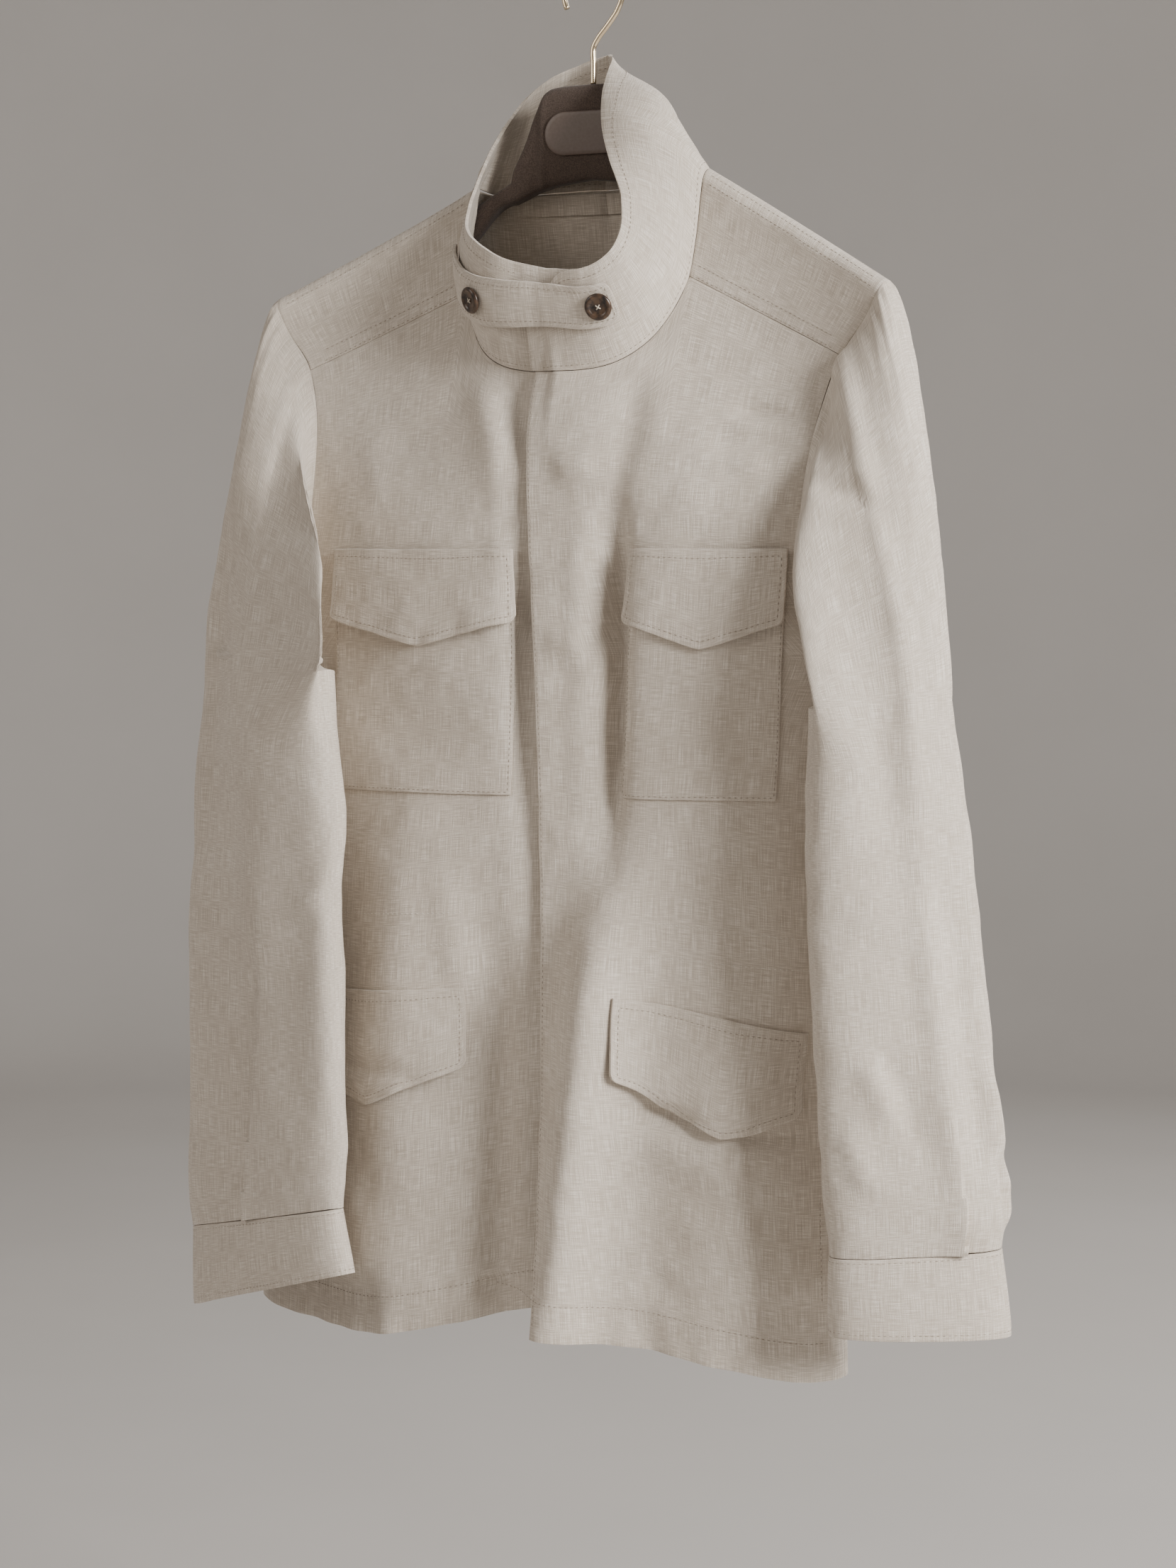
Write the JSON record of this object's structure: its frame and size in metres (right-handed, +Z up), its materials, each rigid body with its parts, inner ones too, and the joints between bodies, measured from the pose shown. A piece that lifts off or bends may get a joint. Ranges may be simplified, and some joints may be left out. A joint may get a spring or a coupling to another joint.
{
  "type": "linen jacket on hanger",
  "caption": "Hip-length linen field jacket with stand collar, throat tab, flapped pockets and long cuffed sleeves, hung closed on a flocked hanger.",
  "frame": {"origin": "inside top of the hanger's hook, where a rail carries it", "axes": "+Z up, -Y out of the jacket's front, +X towards the wearer's left"},
  "size_m": [0.5873, 0.2085, 0.9368],
  "materials": {
    "linen": "sand-coloured slubby plain-weave linen",
    "horn": "dark polished horn",
    "flock": "brown velvet flocking",
    "plate": "matte brown, blank",
    "hook_metal": "pale gold plated wire"
  },
  "bodies": {
    "root": {"back": "linen", "front_left": "linen", "front_right": "linen", "yoke_left": "linen", "yoke_right": "linen", "sleeve_left": "linen", "sleeve_right": "linen", "cuff_left": "linen", "cuff_right": "linen", "chest_pocket_left": "linen", "chest_pocket_right": "linen", "chest_flap_left": "linen", "chest_flap_right": "linen", "lower_flap_left": "linen", "lower_flap_right": "linen", "collar": "linen", "throat_tab": "linen", "neck_tape": "linen", "button_left": "horn", "button_right": "horn", "hanger_body": "flock", "hanger_plate": "plate", "hanger_hook": "hook_metal"}
  },
  "joints": []
}
